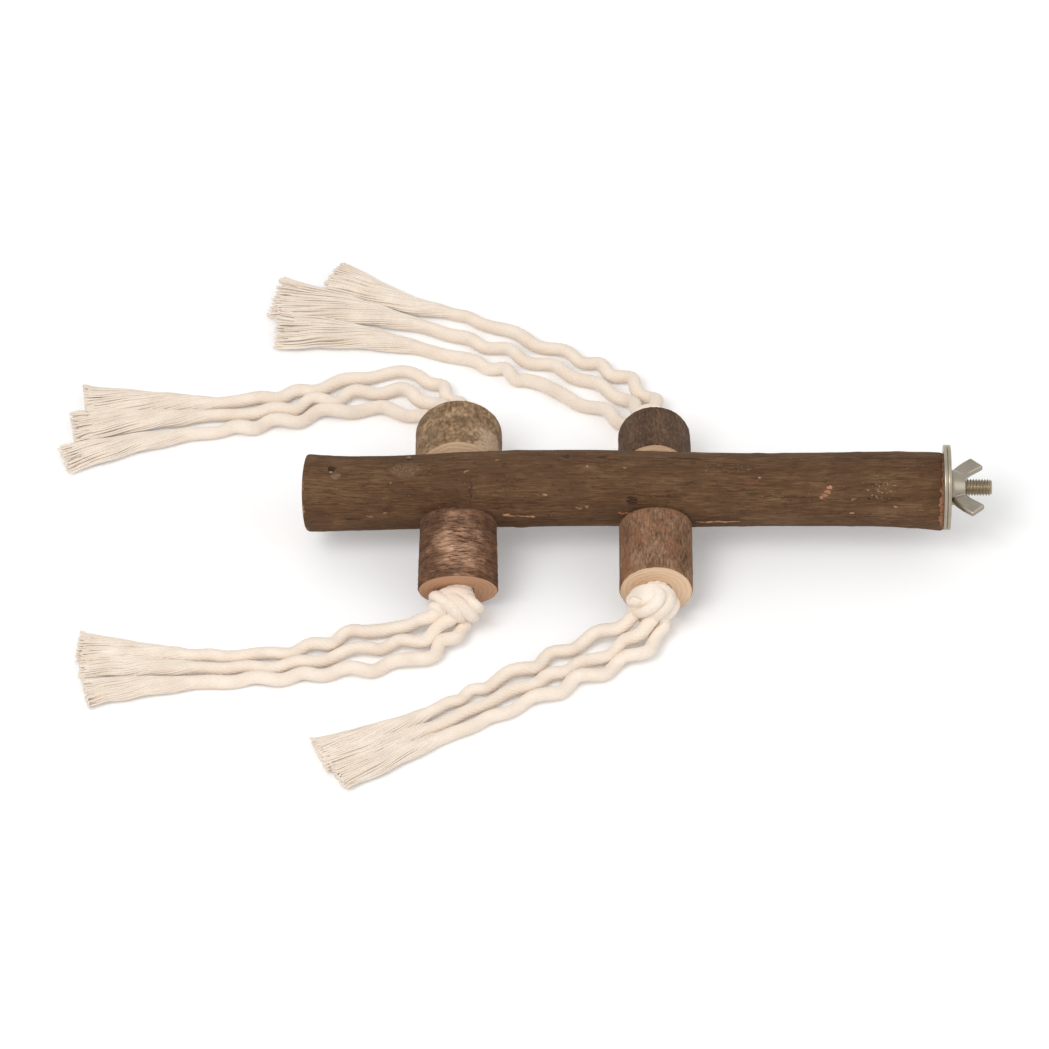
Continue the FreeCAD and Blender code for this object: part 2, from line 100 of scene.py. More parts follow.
# How high a lying strand's line is, in mm, and the sizes of strands and of the waves in them.
LYING = 2.6
STRAND_RADIUS = 0.0024
STRAND_STEP = 0.0006
ROOT_LENGTH = 0.005
WAVE_SIZE = 0.0016
WAVE_LENGTHS = (0.0165, 0.0195)
WAVE_STARTS_IN = 0.012
WAVE_FADES_IN = 0.035

# How each strand's frayed end lies, in mm: half its width at the tip, half its height there, how
# uneven its yarns' ends are, how far the tip leans to the left of the strand's own way, how far
# back from the tip it has come apart, and how far its longest yarns pass the strand's end.
FRAYS = {
    "near_left": {
        "a": (7.8, 1.7, 1.8, -0.8, 42, 3.5),
        "b": (7.4, 1.6, 2.2, 0.5, 42, 4.5),
        "c": (7.6, 1.9, 0.9, 0.0, 44, 0.8),
    },
    "near_right": {
        "a": (7.6, 2.2, 0.7, 0.4, 48, 1.5),
        "b": (7.4, 2.0, 0.7, -3.5, 48, 1.0),
        "c": (7.6, 2.2, 0.6, -2.5, 46, 1.0),
    },
    "rear_left": {
        "a": (10.4, 2.0, 1.4, -3.0, 50, 4.0),
        "b": (8.6, 1.8, 4.0, 0.0, 50, 6.0),
        "c": (7.8, 1.7, 5.5, 0.0, 50, 6.0),
    },
    "rear_right": {
        "a": (8.4, 1.9, 1.8, 0.4, 50, 4.0),
        "b": (12.0, 2.0, 3.0, -1.0, 58, 6.0),
        "c": (11.8, 2.0, 3.4, -5.0, 58, 2.0),
    },
}

# Knots, as coils of rope round a drum: which way the coil lies about its block's axis, in degrees,
# how its wraps slant, how many there are, how wide the coil is across them, how far aside the knot
# sits in mm, and the drum's radius.
KNOTS = {
    "near_left": (8, 0.6, 3.3, 0.0054, (-1.0, 0.4), 0.0072),
    "near_right": (128, 0.10, 3.2, 0.0066, (-1.4, 1.2), 0.0084),
    "rear_left": (-25, 0.40, 3.0, 0.0048, (0, 0), 0.0066),
    "rear_right": (60, -0.35, 3.0, 0.0050, (0, 0), 0.0066),
}

# Pieces' own sizes.
YARNS = 130
YARN_RADIUS = 0.00036
GOLDEN_ANGLE = 2.39996
KNOT_WRAP = 0.0025
KNOT_GAP = 0.0002
KNOT_HEIGHT = 0.0117
COIL_RISE = 0.0044
DRUM_HEIGHT = 0.0088
KNOT_NECK = 0.0054
NECK_DEPTH = 0.005
KNOT_STEP = 0.0005
ROPE_STRAND = 0.00225
ROPE_STRAND_OUT = 0.0026
ROPE_LAY = 0.035
ROPE_HOLE = 0.0057
ROPE_STEP = 0.001
BRANCH_AXIS_HEIGHT = 0.025
BRANCH_STEP = 0.0007
CAP_SHARES = (0.2, 0.4, 0.6, 0.8, 0.95)
WOOD_AROUND = 168
GROWTH_RING = 0.0016
THREAD_RADIUS = 0.003
THREAD_PITCH = 0.001
WOOD_THREAD_PITCH = 0.0026
WOOD_THREAD_ROOT = 0.0019
WASHER_HOLE = 0.0032
WASHER_EDGE = 0.00035
WING_THICKNESS = 0.003
WING_EDGE = 0.0011
CAST_VOXEL = 0.00016

# The nut's hub, as distance along the bolt and radius, and one of its wings, as distance out from the
# bolt's axis and along it.
NUT_HUB = [(0.0, WASHER_HOLE), (0.0, 0.0062), (0.0012, 0.0062), (0.0052, 0.0049), (0.0052, WASHER_HOLE)]
NUT_WING = [
    (0.0032, 0.0009), (0.0070, 0.0007), (0.0106, 0.0034), (0.0134, 0.0067), (0.0138, 0.0075),
    (0.0134, 0.0082), (0.0104, 0.0113), (0.0097, 0.0116), (0.0090, 0.0111), (0.0060, 0.0070),
    (0.0034, 0.0049),
]

# Marks in the branch's bark: where along it in mm, how many degrees from its top towards -Y, how
# far they reach along and round it, in mm and degrees, and the colour they show, from 0 to 255.
BRANCH_MARKS = [
    (-45, 89, 4.8, 1.2, (190, 142, 106)),
    (-49.1, 88, 1.2, 2.4, (204, 156, 120)),
    (-41, 90, 1.3, 2.4, (204, 156, 120)),
    (24.6, 106, 8.2, 1.7, (198, 148, 114)),
    (-12, 116, 6, 1.6, (160, 112, 90)),
    (-7.6, 83, 2.7, 2.4, (166, 104, 82)),
    (63, 45, 1.9, 7, (112, 74, 53)),
    (60.7, 58, 1.1, 2.4, (168, 122, 98)),
    (61.8, 54, 1.1, 2.4, (160, 110, 86)),
    (63, 49, 1.1, 2.4, (168, 118, 93)),
    (64.2, 43, 1, 2.4, (190, 142, 118)),
    (36.9, 33, 2.3, 5, (118, 78, 56)),
    (39.1, 27, 0.6, 1.6, (184, 146, 124)),
    (-110.4, 5, 1.4, 7.5, (52, 34, 24)),
    (-109.2, 21, 1.6, 5, (126, 99, 79)),
    (-110.7, 12, 0.4, 1.6, (172, 146, 124)),
    (-97, 92, 1.4, 1.4, (162, 126, 100)),
    (-91.4, 85, 1, 1.4, (154, 118, 94)),
    (-89.9, 34, 0.5, 1.5, (168, 138, 114)),
    (-103, 97, 4.2, 2.4, (66, 50, 36)),
    (-119.8, 116, 1.3, 3.4, (156, 110, 86)),
    (-120.8, 80, 0.8, 10, (186, 142, 116)),
    (-83.7, -27, 1, 3, (176, 146, 124)),
    (-83.1, -16, 1.5, 4, (64, 42, 29)),
    (-5.4, 62, 2.2, 8, (58, 36, 26)),
    (-84.7, 9, 5.6, 16, (112, 86, 64)),
    (-61.8, 48, 0.4, 22, (76, 52, 36)),
    (-49.4, 38, 0.3, 18, (84, 59, 41)),
    (-50, 74, 6, 1.1, (64, 38, 26)),
    (6, 56, 8.5, 1, (64, 42, 28)),
    (9, -10, 15, 1.2, (60, 40, 27)),
    (-28.2, -10, 1.4, 4, (60, 40, 28)),
    (-15.8, -10, 2.6, 2.6, (64, 43, 30)),
    (-20.6, 11, 0.9, 1.6, (160, 128, 100)),
    (-7.6, 11, 0.9, 1.4, (150, 118, 92)),
    (-52.9, -4, 0.8, 1.6, (158, 120, 92)),
    (-63.1, 16, 0.9, 2, (148, 116, 88)),
    (-35.7, 53, 0.6, 1.4, (176, 144, 114)),
    (-24, 74, 1, 1.8, (146, 112, 80)),
    (-21, 72, 0.8, 2.4, (150, 116, 84)),
    (87.2, 71, 0.6, 1.8, (166, 132, 112)),
    (71.6, 85, 1, 1.7, (176, 134, 106)),
    (72.4, 60, 0.8, 1.5, (150, 112, 92)),
    (77.9, 59, 0.8, 2, (50, 32, 23)),
    (86, -10, 17, 1.5, (64, 44, 31)),
    (52, 58, 8, 1.2, (70, 49, 36)),
    (103.1, 76, 0.8, 34, (164, 116, 90)),
    (-98, -112, 4, 1.6, (140, 104, 78)),
    (-74, -72, 3.4, 2.2, (150, 112, 82)),
    (-33, -100, 2.4, 5, (58, 38, 27)),
    (34, -62, 5.5, 1.6, (160, 118, 88)),
    (58, -96, 2, 6, (60, 40, 28)),
    (86, -70, 1.6, 2, (170, 126, 94)),
    (22, -142, 3, 3, (150, 110, 82)),
    (-86, 160, 4.2, 2, (140, 102, 76)),
    (50, 152, 2.2, 5, (62, 42, 30)),
    (-121, 0, 0.5, 900, (138, 102, 76)),
    (103.8, 0, 0.45, 900, (160, 114, 84)),
]

# Places in the bark that are sown with pale specks, in the same form.
BRANCH_SPECKS = [
    (-84.7, 9, 5.4, 16, (142, 116, 94)),
    (82.2, 44, 5.2, 17, (164, 134, 112)),
    (28, 8, 12, 12, (128, 100, 78)),
]

# The branch's left end is sawn at this slope, longest on its near and upper side. The slope fades out
# over this distance from the end.
END_SLANT = 0.145
SLANT_FADES = 0.02

# Each block's wood: its slot, the wavelengths and depth of its relief, its bark's shades from dark to
# pale, the wavelengths of its fibres in mm, the shade and size of its blotches, and the two shades of
# its sawn ends.
BLOCK_WOODS = {
    "near_left": (
        "red_brown_bark", (0.005, 0.005, 0.0009), 0.0005, ((66, 44, 31), (104, 72, 52), (146, 104, 77)),
        (3.2, 3.2, 0.5), (80, 56, 41), 9.0, (205, 160, 124), (172, 126, 94),
    ),
    "near_right": (
        "brown_bark", (0.0012, 0.0012, 0.006), 0.0004, ((88, 61, 43), (130, 98, 74), (166, 132, 106)),
        (0.7, 0.7, 2.0), (146, 98, 70), 5.0, (238, 208, 176), (214, 180, 146),
    ),
    # The two rear blocks' sawn shades are set far paler than the wood's own tone: painted light that makes
    # up for the shade their inner faces lie in.
    "rear_left": (
        "grey_bark", (0.002, 0.002, 0.005), 0.0004, ((100, 74, 50), (152, 122, 92), (192, 162, 130)),
        (1.4, 1.4, 2.2), (98, 78, 54), 8.0, (252, 218, 180), (230, 190, 152),
    ),
    "rear_right": (
        "dark_bark", (0.0012, 0.0012, 0.006), 0.0004, ((68, 49, 36), (92, 69, 52), (119, 93, 73)),
        (0.8, 0.8, 2.6), None, 0.0, (250, 212, 172), (226, 184, 146),
    ),
}

# Light.
WORLD_LIGHT = 0.6
KEY_WATTS = 24.0
FILL_WATTS = 6.0
FLOOR_GLOW = 0.14


# ---- meshes


def unit(vectors):
    """The vectors at length one."""
    return vectors / np.maximum(np.linalg.norm(vectors, axis=-1, keepdims=True), 1e-12)


def along(line):
    """How far along a line each of its points is."""
    steps = np.linalg.norm(np.diff(line, axis=0), axis=1)
    return np.concatenate([[0.0], np.cumsum(steps)])


def respaced(line, step):
    """The line again, with points this far apart."""
    far = along(line)
    at = np.linspace(0, far[-1], max(3, round(far[-1] / step) + 1))
    return np.stack([np.interp(at, far, line[:, k]) for k in range(3)], axis=1)


def spline_line(points):
    """The open NURBS spline of order 3 through these control points, as a fine line."""
    curve = bpy.data.curves.new("route", "CURVE")
    curve.dimensions = "3D"
    curve.resolution_u = 24
    spline = curve.splines.new("NURBS")
    spline.points.add(len(points) - 1)
    for control, point in zip(spline.points, points):
        control.co = (*point, 1.0)
    spline.order_u = 3
    spline.use_endpoint_u = True
    holder = bpy.data.objects.new("route", curve)
    mesh = bpy.data.meshes.new_from_object(holder)
    line = np.array([v.co for v in mesh.vertices])
    bpy.data.meshes.remove(mesh)
    bpy.data.objects.remove(holder)
    bpy.data.curves.remove(curve)
    return line


def frames(line):
    """Two directions across a line at each of its points, which don't twist along it."""
    ahead = unit(np.gradient(line, axis=0))
    across = np.empty_like(line)
    level = np.cross((0.0, 0.0, 1.0), ahead[-1])
    across[-1] = unit(level) if np.linalg.norm(level) > 1e-6 else (1.0, 0.0, 0.0)
    for i in range(len(line) - 2, -1, -1):
        side = across[i + 1] - ahead[i] * (across[i + 1] @ ahead[i])
        across[i] = unit(side)
    return across, np.cross(ahead, across)


def directions(around):
    """This many angles of a full turn, with their cosines and sines."""
    angles = np.arange(around) * TAU / around
    return angles, np.cos(angles), np.sin(angles)


def walls(rings, looped=False):
    """The numbers of the points in closed rings, and the faces from each ring to the next."""
    number = np.arange(rings.shape[0] * rings.shape[1]).reshape(rings.shape[:2])
    ahead = np.roll(number, -1, axis=1)
    last = len(number) if looped else len(number) - 1
    after = np.roll(number, -1, axis=0), np.roll(ahead, -1, axis=0)
    quads = np.stack([number, ahead, after[1], after[0]], axis=2)[:last]
    return number, quads.reshape(-1, 4).tolist()


def closed_rings(rings, centres=None):
    """A skin through closed rings of points, shut at both ends round the centres of its end rings."""
    number, faces = walls(rings)
    centres = rings[[0, -1]].mean(axis=1) if centres is None else centres
    start, end = number.size, number.size + 1
    faces += [(int(b), int(a), start) for a, b in zip(number[0], np.roll(number[0], -1))]
    faces += [(int(a), int(b), end) for a, b in zip(number[-1], np.roll(number[-1], -1))]
    return np.vstack([rings.reshape(-1, 3), centres]), faces


def tube(line, radii):
    """Vertices and faces of a tube: radii has a row for each point of the line."""
    across, over = frames(line)
    _, cosines, sines = directions(radii.shape[1])
    rings = line[:, None] + radii[:, :, None] * (
        cosines[None, :, None] * across[:, None] + sines[None, :, None] * over[:, None]
    )
    return closed_rings(rings, line[[0, -1]])


def ring_about_x(x, radii, centre_z, around):
    """A closed ring of points about X."""
    _, cosines, sines = directions(around)
    return np.stack([np.full(around, x), radii * cosines, centre_z + radii * sines], axis=1)


def joined(parts):
    """Several meshes as one."""
    vertices, faces, count = [], [], 0
    for points, polygons in parts:
        vertices.append(points)
        faces += [[i + count for i in polygon] for polygon in polygons]
        count += len(points)
    return np.vstack(vertices), faces


def new_object(name, data):
    """A new object in the scene."""
    thing = bpy.data.objects.new(name, data)
    bpy.context.scene.collection.objects.link(thing)
    return thing


def piece(name, mesh_parts, materials, body, slot, *replaced):
    """A new object from vertices and faces, with its materials, riding on a CAD body."""
    vertices, faces = mesh_parts
    mesh = bpy.data.meshes.new(name)
    mesh.from_pydata(np.asarray(vertices).tolist(), [], faces)
    mesh.validate()
    mesh.update()
    mesh.shade_smooth()
    for material in materials:
        mesh.materials.append(material)
    thing = new_object(name, mesh)
    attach(thing, body)
    if replaced:
        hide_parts(*replaced)
    return thing


def ripple(point, waves, seed=0.0):
    """Smooth noise from -1 to 1 at a point, with a wavelength of its own along each axis."""
    return noise.noise(Vector([p / w + seed for p, w in zip(point, waves)]))


# ---- materials


def colour(shade, dimmed=1.0):
    """A linear colour from the red, green and blue, 0 to 255, that it shows on a screen."""
    linear = [((c / 255 + 0.055) / 1.055) ** 2.4 for c in shade]
    return (*(dimmed * c for c in linear), 1.0)


def add(tree, kind, inputs=None, **settings):
    """A shader node with its settings, and each input set to a value or fed from a socket."""
    node = tree.nodes.new(f"ShaderNode{kind}")
    for key, value in settings.items():
        setattr(node, key, value)
    for key, value in (inputs or {}).items():
        if isinstance(value, bpy.types.NodeSocket):
            tree.links.new(value, node.inputs[key])
        else:
            node.inputs[key].default_value = value
    return node


def new_material(name, roughness, metallic=0.0, **constants):
    """An empty procedural material: its tree, its surface shader and its object coordinates."""
    material = bpy.data.materials.new(name)
    material.use_nodes = True
    tree = material.node_tree
    shader = tree.nodes["Principled BSDF"]
    shader.inputs["Roughness"].default_value = roughness
    shader.inputs["Metallic"].default_value = metallic
    for key, value in constants.items():
        shader.inputs[key.replace("_", " ")].default_value = value
    place = add(tree, "TexCoord").outputs["Object"]
    return material, tree, shader, place


def grain(tree, place, waves, detail=3.0, rough=0.55):
    """Noise whose wavelengths along X, Y and Z are given in millimetres."""
    scale = [1000.0 / w for w in waves]
    spread = add(tree, "Mapping", {"Vector": place, "Scale": scale}).outputs[0]
    settings = {"Vector": spread, "Scale": 1.0, "Detail": detail, "Roughness": rough}
    return add(tree, "TexNoise", settings).outputs["Fac"]


def ramp(tree, factor, stops):
    """Colours along a factor, from (position, shade) stops."""
    node = add(tree, "ValToRGB", {"Fac": factor})
    while len(node.color_ramp.elements) < len(stops):
        node.color_ramp.elements.new(0.5)
    for element, (position, shade) in zip(node.color_ramp.elements, stops):
        element.position = position
        element.color = colour(shade)
    return node.outputs["Color"]


def between(tree, factor, low, high):
    """A factor that goes from 0 to 1 as another goes from low to high."""
    span = {"Value": factor, "From Min": low, "From Max": high}
    return add(tree, "MapRange", span, interpolation_type="SMOOTHSTEP").outputs["Result"]


def mixed(tree, factor, first, second):
    """One colour blended into another."""
    return add(tree, "Mix", {0: factor, 6: first, 7: second}, data_type="RGBA").outputs[2]


def reckon(tree, operation, first, second=0.0):
    """Arithmetic on two numbers."""
    return add(tree, "Math", {0: first, 1: second}, operation=operation).outputs[0]


def times(tree, first, second):
    """One number times another."""
    return reckon(tree, "MULTIPLY", first, second)


def vectors(tree, operation, first, second=(0, 0, 0)):
    """Arithmetic on two vectors, or the length of one."""
    node = add(tree, "VectorMath", {0: first, 1: second}, operation=operation)
    return node.outputs["Value" if operation == "LENGTH" else "Vector"]


def bumped(tree, shader, height, distance, strength=1.0):
    """Relief on a surface, in metres."""
    node = add(tree, "Bump", {"Height": height, "Distance": distance, "Strength": strength})
    tree.links.new(node.outputs[0], shader.inputs["Normal"])


def mark(tree, place, spot, reach, outside=1.15, inside=0.75):
    """A soft mask that is 1 inside an ellipsoid round a spot: half-lengths along X, Y and Z."""
    shrunk = vectors(tree, "MULTIPLY", vectors(tree, "SUBTRACT", place, spot), [1 / r for r in reach])
    return between(tree, vectors(tree, "LENGTH", shrunk), outside, inside)


def strayed(tree, place, drawn_at, scale, reach):
    """Coordinates moved about by noise, so that what is drawn at them has ragged edges."""
    cloud = add(tree, "TexNoise", {"Vector": place, "Scale": scale, "Detail": 3.0}).outputs["Color"]
    about = vectors(tree, "SUBTRACT", cloud, (0.5, 0.5, 0.5))
    return vectors(tree, "ADD", drawn_at, vectors(tree, "MULTIPLY", about, reach))


def wrapped(tree, place, axis_height):
    """Coordinates on a log about X: along it, and round it from its top towards -Y."""
    parts = add(tree, "SeparateXYZ", {"Vector": place})
    down = times(tree, parts.outputs["Y"], -1.0)
    up = reckon(tree, "SUBTRACT", parts.outputs["Z"], axis_height)
    turn = reckon(tree, "ARCTAN2", down, up)
    flat = add(tree, "CombineXYZ", {"X": parts.outputs["X"], "Y": turn}).outputs[0]
    return strayed(tree, place, flat, 420.0, (0.0035, 0.16, 0.0))


def bark(name, shades, fibres, blotch, blotch_size, marks=(), specks=(), axis_height=None, wear_and_highlight=None):
    """Dry bark: fibres, cracks, blotches, flecks, single marks, specked places and one patch of fibres made
    paler as a painted highlight.
    """
    material, tree, shader, place = new_material(name, 0.88, Specular_IOR_Level=0.25)
    fine = grain(tree, place, fibres, 6.0, 0.62)
    broad = grain(tree, place, [3.2 * w + 3 for w in fibres], 3.0)
    blend = reckon(tree, "ADD", times(tree, fine, 0.62), times(tree, broad, 0.38))
    skin = ramp(tree, blend, [(0.36, shades[0]), (0.5, shades[1]), (0.64, shades[2])])
    if blotch:
        cloud = grain(tree, place, [blotch_size] * 3, 5.0, 0.65)
        cloudy = times(tree, between(tree, cloud, 0.46, 0.62), 0.6)
        skin = mixed(tree, cloudy, skin, colour(blotch))
    if axis_height is None:
        surface = strayed(tree, place, place, 190.0, (0.012, 0.012, 0.012))
    else:
        surface = wrapped(tree, place, axis_height)
    # A painted highlight: inside a soft patch the fibres take paler shades.
    if wear_and_highlight:
        spot, reach, low, high = wear_and_highlight
        highlighted = ramp(tree, blend, [(0.42, low), (0.59, high)])
        skin = mixed(tree, mark(tree, surface, spot, reach, 1.5, 0.3), skin, highlighted)
    split = grain(tree, place, [2.6 * w + 0.8 for w in fibres], 4.0, 0.6)
    from_line = reckon(tree, "ABSOLUTE", reckon(tree, "SUBTRACT", split, 0.53))
    crack = between(tree, from_line, 0.014, 0.0)
    skin = mixed(tree, times(tree, crack, 0.55), skin, colour(shades[0], 0.45))
    flecks = grain(tree, place, [max(0.8, w / 6) for w in fibres], 2.0)
    flecked = times(tree, between(tree, flecks, 0.7, 0.78), 0.6)
    skin = mixed(tree, flecked, skin, colour((186, 146, 114)))
    ragged = between(tree, grain(tree, place, (1.6, 0.7, 0.7), 4.0, 0.7), 0.34, 0.5)
    sown = between(tree, grain(tree, place, (0.8, 0.7, 0.7), 1.0), 0.62, 0.7)
    for places, edge in ((marks, ragged), (specks, sown)):
        for spot, reach, shade in places:
            share = times(tree, mark(tree, surface, spot, reach), edge)
            skin = mixed(tree, share, skin, colour(shade))
    tree.links.new(skin, shader.inputs["Base Color"])
    relief = reckon(tree, "SUBTRACT", blend, times(tree, crack, 0.12))
    bumped(tree, shader, relief, 0.0009, 0.75)
    return material


def sawn_wood(name, heart, ring, pith=(0, 0, 0), axis_is_x=False):
    """A sawn end: faint growth rings about the pith, and the fuzz of the saw."""
    material, tree, shader, place = new_material(name, 0.78)
    parts = add(tree, "SeparateXYZ", {"Vector": vectors(tree, "SUBTRACT", place, pith)})
    first, second = "YZ" if axis_is_x else "XY"
    flat = add(tree, "CombineXYZ", {"X": parts.outputs[first], "Y": parts.outputs[second]}).outputs[0]
    wander = grain(tree, place, (6, 6, 6), 2.0)
    radius = reckon(tree, "ADD", vectors(tree, "LENGTH", flat), times(tree, wander, 0.0022))
    rings = reckon(tree, "SINE", times(tree, radius, TAU / GROWTH_RING))
    soft = between(tree, rings, -1.2, 1.6)
    fuzz = grain(tree, place, (0.5, 0.5, 0.5), 5.0, 0.7)
    wood = mixed(tree, times(tree, soft, 0.5), colour(heart), colour(ring))
    wood = mixed(tree, times(tree, fuzz, 0.35), wood, colour(ring))
    tree.links.new(wood, shader.inputs["Base Color"])
    bumped(tree, shader, reckon(tree, "ADD", fuzz, times(tree, soft, 0.3)), 0.0005, 0.5)
    return material


def cotton(name, shade, shadow):
    """Undyed cotton: short soft fibres over its yarns, with a matt bloom."""
    material, tree, shader, place = new_material(
        name, 0.95, Sheen_Weight=0.25, Sheen_Roughness=0.6, Specular_IOR_Level=0.2
    )
    fibre = grain(tree, place, (0.9, 0.5, 0.5), 5.0, 0.7)
    patch = grain(tree, place, (9, 9, 6), 2.0)
    tint = reckon(tree, "ADD", times(tree, fibre, 0.5), times(tree, patch, 0.5))
    tree.links.new(ramp(tree, tint, [(0.35, shadow), (0.6, shade)]), shader.inputs["Base Color"])
    bumped(tree, shader, fibre, 0.0004, 0.45)
    return material


def zinc(name, shade, roughness):
    """Bright zinc plate on steel, with fine rubbed scratches, a faint yellow cast and painted dark
    reflections.
    """
    material, tree, shader, place = new_material(name, roughness, 1.0)
    # Cloudy patches of the colour are darkened, as painted dark reflections.
    dark_reflection_cloud = grain(tree, place, (7.0, 7.0, 7.0), 4.0)
    scratch = grain(tree, place, (0.25, 4.0, 0.6), 3.0, 0.6)
    painted_reflections = mixed(tree, between(tree, dark_reflection_cloud, 0.4, 0.68), colour(shade), colour(shade, 0.82))
    tree.links.new(painted_reflections, shader.inputs["Base Color"])
    span = {"Value": scratch, "To Min": roughness - 0.08, "To Max": roughness + 0.14}
    tree.links.new(add(tree, "MapRange", span).outputs["Result"], shader.inputs["Roughness"])
    bumped(tree, shader, scratch, 0.00008, 0.35)
    return material


# ---- cotton pieces


def middle(node):
    """The middle of a CAD node's box."""
    low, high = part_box(node)
    return (Vector(low) + Vector(high)) / 2


def yarn_radii(line, radius, ridges=11, lay=0.026, depth=0.1, around=60):
    """Radii of a strand of yarns twisted side by side: radius is one number, or one for each point."""
    angles = directions(around)[0]
    twist = TAU * along(line) / lay
    wave = np.abs(np.cos(ridges / 2 * (angles[None] - twist[:, None])))
    return np.broadcast_to(radius, len(line))[:, None] * (1 - depth * (1 - wave))


def opening(line, fray):
    """How far a strand has frayed open at each point of its line, from 0 to 1 at the tip."""
    left = along(line)[-1] - along(line)
    share = np.clip(1 - left / fray, 0, 1)
    return share**1.5


def kinked(line, fray, random):
    """A strand's line with the waves that it keeps from the rope, lying on the ground."""
    across, over = frames(line)
    far = along(line)
    start = np.clip(far / WAVE_STARTS_IN, 0, 1)
    fade = np.clip((far[-1] - 0.9 * fray - far) / WAVE_FADES_IN, 0, 1)
    uneven = np.interp(far, np.linspace(0, far[-1], 11), random.uniform(0.45, 1.25, 11))
    size = WAVE_SIZE * uneven * start * (0.12 + 0.88 * fade)
    wander = np.interp(far, np.linspace(0, far[-1], 9), random.normal(0, 1.1, 9))
    turn = TAU * far / random.uniform(*WAVE_LENGTHS) + random.uniform(0, TAU) + wander
    sideways = size * np.cos(turn)
    upwards = 0.55 * size * (1 + np.sin(turn))
    waved = line + sideways[:, None] * across + upwards[:, None] * over
    waved[:, 2] = np.maximum(waved[:, 2], STRAND_RADIUS * 0.98)
    return waved


def strand_body(line, lie, random):
    """The strand itself, which thins to a core inside its own frayed end."""
    half_height, fray = lie[1] * MM, lie[4] * MM
    opened = opening(line, fray)
    radius = STRAND_RADIUS * (1 - 0.62 * opened)
    far = along(line)
    lumps = np.interp(far, np.linspace(0, far[-1], 15), random.uniform(0.94, 1.07, 15))
    core = kinked(line, fray, random)
    core[:, 2] += (half_height + YARN_RADIUS - STRAND_RADIUS) * opened
    return tube(core, yarn_radii(core, radius * lumps)), core


def frayed_end(core, lie, random):
    """The loose yarns at the end of a strand, each in a place of its own that spreads to the tip."""
    half_width, half_height, uneven, lean, fray, beyond = (v * MM for v in lie)
    tail = core[-round(fray / STRAND_STEP) :: 3]
    ahead = unit(tail[-1] - tail[-4])
    ahead = unit(ahead * (1, 1, 0))
    tail = np.vstack([tail, tail[-1] + ahead * np.linspace(0, beyond, 6)[1:, None]])
    across, over = frames(tail)
    share = np.linspace(0, 1, len(tail))
    spread = share**1.3
    parts = []
    for i in range(YARNS):
        from_middle = math.sqrt((i + 0.5) / YARNS)
        turn = i * GOLDEN_ANGLE + 2.4 * (1 - share) ** 2
        root = STRAND_RADIUS * (0.62 + 0.31 * np.clip(share / 0.2, 0, 1))
        width = root * (1 - spread) + half_width * spread
        height = root * (1 - spread) + half_height * spread
        sway = 0.0005 * spread * np.sin(TAU * (share * random.uniform(0.8, 2.2) + random.random()))
        side = from_middle * np.cos(turn) * width + sway + lean * spread
        lift = from_middle * np.sin(turn) * height + 0.4 * sway
        line = tail + side[:, None] * across + lift[:, None] * over
        line[:, 2] = np.maximum(line[:, 2], YARN_RADIUS)
        short = abs(random.normal(0, uneven))
        line = line[along(line) <= along(line)[-1] - short]
        radius = np.full(len(line), YARN_RADIUS * random.uniform(0.8, 1.15))
        radius[-1] *= 0.6
        parts.append(tube(line, np.repeat(radius[:, None], 5, axis=1)))
    return joined(parts)


def make_strands():
    """The twelve loose strands, each with its frayed end on it; returns where they start."""
    starts = {block: [] for block in BLOCKS}
    body_cotton = cotton("strand_cotton", (250, 235, 219), (238, 220, 201))
    yarn_cotton = cotton("yarn_cotton", (249, 236, 221), (234, 217, 199))
    for block in BLOCKS:
        knot = np.array(middle(f"knot_{block}"))
        for letter, route in ROUTES[block].items():
            random = np.random.default_rng(100 * BLOCKS.index(block) + ord(letter))
            points = np.array([[*point, LYING][:3] for point in route]) * MM
            points += [knot] + [(knot[0], knot[1], 0)] * (len(route) - 1)
            line = respaced(spline_line(points), STRAND_STEP)
            lie = FRAYS[block][letter]
            mesh, inner = strand_body(line, lie, random)
            starts[block].append(line[: round(ROOT_LENGTH / STRAND_STEP)])
            node = f"strand_{block}_{letter}"
            strand = piece(f"{node}_cotton", mesh, [body_cotton], "root", "cotton_strand", node)
            yarns = frayed_end(inner, lie, random)
            fray = piece(f"fray_{block}_{letter}", yarns, [yarn_cotton], "root", "cotton_strand")
    return starts


def knot_line(turn, slant, wraps, wide):
    """The line of a coil of rope about its block's axis Z, closed in at both ends."""
    share = np.linspace(0, 1, round(70 * wraps))
    angle = TAU * wraps * share
    out = wide * np.sqrt(np.clip(1 - np.abs(2 * share - 1) ** 3, 0.02, 1))
    lift = out * np.sin(angle)
    rise = COIL_RISE * wraps * (share - 0.5)
    coil = np.stack([rise + slant * lift, out * np.cos(angle), lift], axis=1)
    return coil @ np.array(Matrix.Rotation(math.radians(turn), 3, "Z")).T


def knot_drum(across, around=40, rings=20):
    """A drum with round edges about Z, which stands on Z = 0."""
    turns = np.linspace(0, math.pi, rings)[1:-1, None]
    out = across * np.sin(turns) ** 0.5
    level = DRUM_HEIGHT / 2 * (1 - np.sign(np.cos(turns)) * np.abs(np.cos(turns)) ** 0.6)
    _, cosines, sines = directions(around)
    return closed_rings(np.stack([out * cosines, out * sines, level.repeat(around, axis=1)], axis=2))


